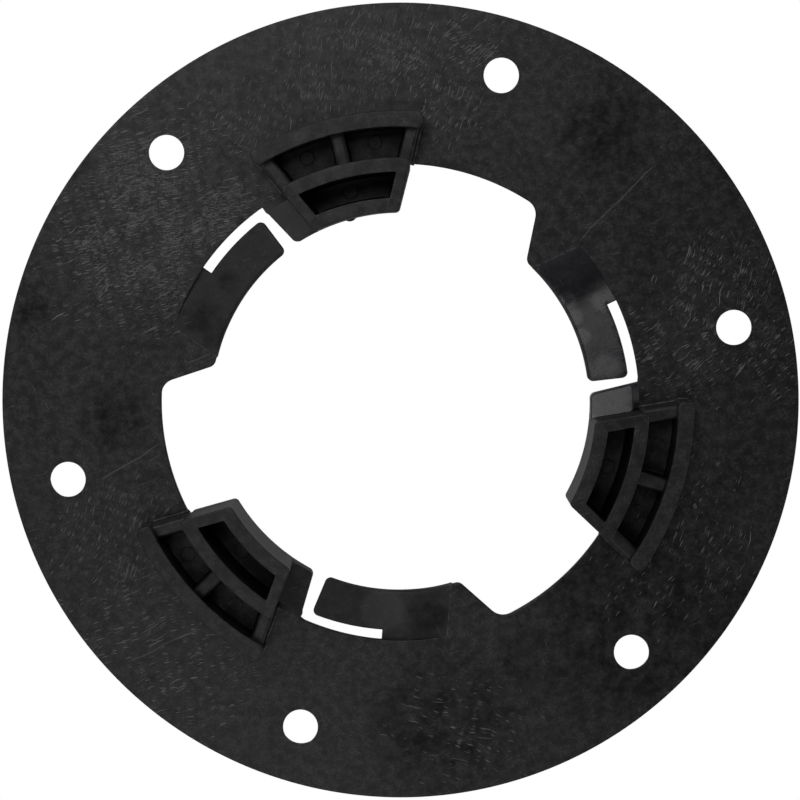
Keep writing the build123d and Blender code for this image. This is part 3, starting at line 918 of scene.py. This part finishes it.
def rib_section():
    """Outline of a rib seen along its length: (across, height) pairs from foot to foot over the top."""
    half = (RIB_THICKNESS + RIB_DRAFT) / 2
    foot = PLATE_TOP - WALL_SINK
    bends = [pi / 2 * step / RIB_STEPS for step in range(RIB_STEPS + 1)]
    side = [(half + RIB_FOOT_SPREAD + RIB_FLARE * (1 - sin(bend)), foot + RIB_FLARE * (1 - cos(bend)))
            for bend in bends]
    side += [(half - RIB_TOP_ROUND * (1 - cos(bend)), RIB_TOP - RIB_TOP_ROUND * (1 - sin(bend)))
             for bend in bends]
    return np.array(side + [(-across, height) for across, height in reversed(side)])


def make_ribs(number, angle):
    """Three ribs from the drive box to the locating wall. The outer two follow the box's sides."""
    middle = angle + BOSS_ANGLE
    corner = polar(BOX_OUTER_RADIUS, BOX_OUTER_SPAN)
    side = corner - polar(BOX_INNER_RADIUS, BOX_INNER_SPAN)
    slope = degrees(asin(side[1] / np.linalg.norm(side)))
    turn = np.column_stack([polar(1, middle), polar(1, middle + 90)])
    length = WALL_INNER_RADIUS - BOX_OUTER_RADIUS
    section = rib_section()
    skin = Skin()
    for hand in (-1, 0, 1):
        forward = polar(1, hand * slope)
        across = polar(1, hand * slope + 90)
        start = np.array([corner[0], hand * corner[1]]) - across * hand * RIB_THICKNESS / 2
        if hand:
            begin, end = -SIDE_RIB_OVERLAP, length + SIDE_RIB_OVERLAP
        else:
            begin = BOX_OUTER_RADIUS - corner[0] - MIDDLE_RIB_OVERLAPS[0]
            end = length + MIDDLE_RIB_OVERLAPS[1]
        rings = []
        for reach in (begin, end):
            spots = start + forward * reach + section[:, :1] * across
            rings.append(skin.ring(spots @ turn.T, section[:, 1]))
        skin.band(*rings)
        skin.faces += [tuple(ring) for ring in rings]
    return skin.build(f"ribs_{number}", boss_plastic)


def make_ramp(number, angle):
    """Stop ramp: a ledge that falls from the box towards the gap, with a slanted flank down to the ring."""
    middle = angle + BOSS_ANGLE
    inner_start = polar(BOX_INNER_RADIUS, middle + BOX_INNER_SPAN)
    outer_start = polar(BOX_OUTER_RADIUS, middle + BOX_OUTER_SPAN)
    side = (outer_start - inner_start) / np.linalg.norm(outer_start - inner_start)
    away = np.array([-side[1], side[0]])
    fall = (RAMP_TOP - RAMP_LOW) / RAMP_WIDTH

    def surface(spots):
        return RAMP_TOP - fall * ((spots - inner_start) @ away)

    def under_surface(spots):
        return surface(spots) - RAMP_CREST_DEPTH

    outer = (middle + BOX_OUTER_SPAN - RAMP_OVERLAP, middle + RAMP_OUTER_ANGLE)
    inner = (middle + BOX_INNER_SPAN - RAMP_OVERLAP, middle + RAMP_INNER_ANGLE)
    rounds = (0, RAMP_CORNER_ROUND, 0, 0)
    loop = sector(OPENING_RADIUS, outer, BOX_INNER_RADIUS, inner, rounds, FINE_ARC_STEP)
    radii = np.hypot(loop[:, 0], loop[:, 1])
    on_arc = radii > OPENING_RADIUS - SAME_LINE
    crest = np.where(on_arc[:, None], loop * (1 - RAMP_FLANK_WIDTH / radii)[:, None], loop)
    skin = Skin()
    low, shoulder = skin.wall(loop, 0, PLATE_TOP - WALL_SINK, np.where(on_arc, 0.0, RAMP_FOOT_EDGE))
    crest_low, crest_high = skin.wall(crest, under_surface, surface, 0.0, RAMP_EDGE)
    skin.band(shoulder, crest_low)
    skin.cap([low], 0, RAMP_GRID)
    skin.cap([crest_high], surface, RAMP_GRID)
    return skin.build(f"ramp_{number}", LEAF_PLASTICS[number])


def make_leaf(number, angle):
    """Lead-in ramp and spring finger as one leaf, which slopes down to a valley and up to the tip."""
    hinge, tip_angle = angle + HINGE_ANGLE, angle + TIP_ANGLES[number]
    softness = VALLEY_SOFTNESS[number]
    finger_slope = (TIP_TOP - VALLEY_TOP) / (VALLEY_DISTANCE - TIP_DISTANCE)
    lead_in_slope = (PLATE_TOP - VALLEY_TOP) / (LEAD_IN_END - VALLEY_DISTANCE - SEAM_SOFTNESS / 2)

    def along(spots):
        return spots @ polar(1, hinge + 90)

    def upper_face(spots):
        away = along(spots) - VALLEY_DISTANCE
        turn = softness * np.logaddexp(0, away / softness)
        level = VALLEY_TOP - finger_slope * away + (finger_slope + lead_in_slope) * turn
        left = np.clip(LEAD_IN_END - along(spots), 0, None)
        near_seam = PLATE_TOP - lead_in_slope * left**2 / (2 * SEAM_SOFTNESS)
        return np.where(left < SEAM_SOFTNESS, near_seam, level)

    def lower_face(spots):
        return np.interp(along(spots), (TIP_DISTANCE, VALLEY_DISTANCE), (TIP_BOTTOM, VALLEY_BOTTOM))

    slot_end = straight(polar(LEAF_OUTER_RADIUS, hinge), polar(FINGER_OUTER_RADIUS, hinge), 4)
    finger_outer = arc(FINGER_OUTER_RADIUS, hinge, tip_angle, FINE_ARC_STEP)
    tip = straight(finger_outer[-1], polar(LEAF_INNER_RADIUS, tip_angle), 10)
    inner = arc(LEAF_INNER_RADIUS, tip_angle, angle + SEAM_INNER_ANGLE, FINE_ARC_STEP)
    seam_end = hinge + degrees(asin(LEAD_IN_END / LEAF_OUTER_RADIUS))
    seam = straight(inner[-1], polar(LEAF_OUTER_RADIUS, seam_end), 12)
    lead_in = arc(LEAF_OUTER_RADIUS, seam_end, hinge, FINE_ARC_STEP)
    loop = joined([slot_end, finger_outer, tip, inner, seam, lead_in],
                  [SLOT_CORNER_ROUND, TIP_CORNER_ROUND, TIP_CORNER_ROUND, 0, 0, 0])[::-1]
    radii = np.hypot(loop[:, 0], loop[:, 1])
    fade = np.clip((LEAD_IN_END - along(loop)) / LEAF_EDGE_FADE, 0, 1)
    fade[radii > OPENING_RADIUS] = 0
    on_inner_edge = radii < LEAF_INNER_RADIUS + LEAF_INNER_EDGE_WIDTH
    upper = np.where(on_inner_edge, LEAF_INNER_EDGE, LEAF_EDGE) * fade
    skin = Skin()
    low, high = skin.wall(loop, lower_face, upper_face, LEAF_LOWER_EDGE * fade, upper)
    skin.cap([low], lower_face, LEAF_LOWER_GRID, hinge, VALLEY_DISTANCE)
    skin.cap([high], upper_face, LEAF_UPPER_GRID, hinge, VALLEY_DISTANCE)
    return skin.build(f"leaf_{number}", LEAF_PLASTICS[number])


ring = make_ring()
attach(ring, "moulding")
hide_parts("flange_ring")

REGIONS = ((make_box, "drive_box", "boss_plastic"), (make_wall, "locating_wall", "boss_plastic"),
           (make_ribs, "web_ribs", "boss_plastic"), (make_ramp, "stop_ramp", "rubbed_plastic"))
for number, angle in STATION_ANGLES.items():
    for make, node, slot in REGIONS:
        piece = make(number, angle)
        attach(piece, "moulding")
        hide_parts(f"{node}_{number}")
    leaf = make_leaf(number, angle)
    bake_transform(leaf)
    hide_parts(f"lead_in_ramp_{number}", f"spring_finger_{number}")


# --------------------------------------------------------------------------------------------------
# Floor, light and camera
# --------------------------------------------------------------------------------------------------

def seen_white(nodes, surface, output):
    """White to the camera, or pale grey for the world, and the given surface to every other ray."""
    white = nodes.add("ShaderNodeEmission" if output.type == "OUTPUT_MATERIAL" else "ShaderNodeBackground")
    to_camera = nodes.add("ShaderNodeLightPath", output="Is Camera Ray")
    mix = nodes.add("ShaderNodeMixShader", {0: to_camera, 1: surface, 2: white})
    nodes.put(output.inputs["Surface"], mix)


def make_floor():
    """Plain white floor that the plate lies on. It keeps its shading in reflections."""
    bpy.ops.mesh.primitive_plane_add(size=6.0, location=(0, 0, -0.2 * MM))
    floor = bpy.context.object
    floor.name = "floor"
    floor.data.materials.append(bpy.data.materials.new("white_floor"))
    floor.active_material.use_nodes = True
    nodes = Nodes(floor.active_material.node_tree)
    paper = nodes.add("ShaderNodeBsdfDiffuse", {"Color": grey(FLOOR_GREY)})
    seen_white(nodes, paper, nodes.tree.nodes["Material Output"])


def make_world():
    """Dim studio room: darkest straight above, where the camera is."""
    world = bpy.data.worlds.new("studio")
    world.use_nodes = True
    bpy.context.scene.world = world
    nodes = Nodes(world.node_tree)
    direction = nodes.add("ShaderNodeTexCoord", output="Generated")
    upward = nodes.add("ShaderNodeSeparateXYZ", {0: direction}, "Z")
    strength = nodes.ramp(upward, ROOM_DARK_FROM, ROOM_DARK_TO, ROOM_LIGHT, ROOM_DARK)
    room = nodes.add("ShaderNodeBackground", {"Color": grey(1.0), "Strength": strength})
    seen_white(nodes, room, nodes.tree.nodes["World Output"])


def facing(back):
    """Rotation of a camera or a light whose back points along a direction, with world +Y up in its view."""
    back = Vector(back).normalized()
    right = Vector((0, 1, 0)).cross(back).normalized()
    return Matrix((right, back.cross(right), back)).transposed().to_quaternion()


def make_light(name, place, size, power):
    """Soft square light aimed at the plate."""
    lamp = bpy.data.lights.new(name, "AREA")
    lamp.size = size
    lamp.energy = power
    light = bpy.data.objects.new(name, lamp)
    light.location = place
    light.rotation_mode = "QUATERNION"
    light.rotation_quaternion = facing(place)
    bpy.context.scene.collection.objects.link(light)


def make_camera():
    """Camera almost straight above, a little to the far side, with the plate just filling the frame."""
    target = Vector((*CAMERA_TARGET, PLATE_TOP)) * MM
    place = Vector(CAMERA_PLACE) * MM
    lens_holder = bpy.data.cameras.new("camera")
    half_frame = PLATE_RADIUS * MM * FRAME_MARGIN
    lens_holder.sensor_width = SENSOR_WIDTH
    lens_holder.lens = SENSOR_WIDTH / 2 * (place - target).length / half_frame
    lens_holder.clip_start = 0.01
    camera = bpy.data.objects.new("camera", lens_holder)
    camera.location = place
    camera.rotation_mode = "QUATERNION"
    camera.rotation_quaternion = facing(place - target)
    bpy.context.scene.collection.objects.link(camera)
    bpy.context.scene.camera = camera


bpy.context.scene.view_settings.view_transform = "Standard"
make_floor()
make_world()
for light in LIGHTS:
    make_light(*light)
make_camera()
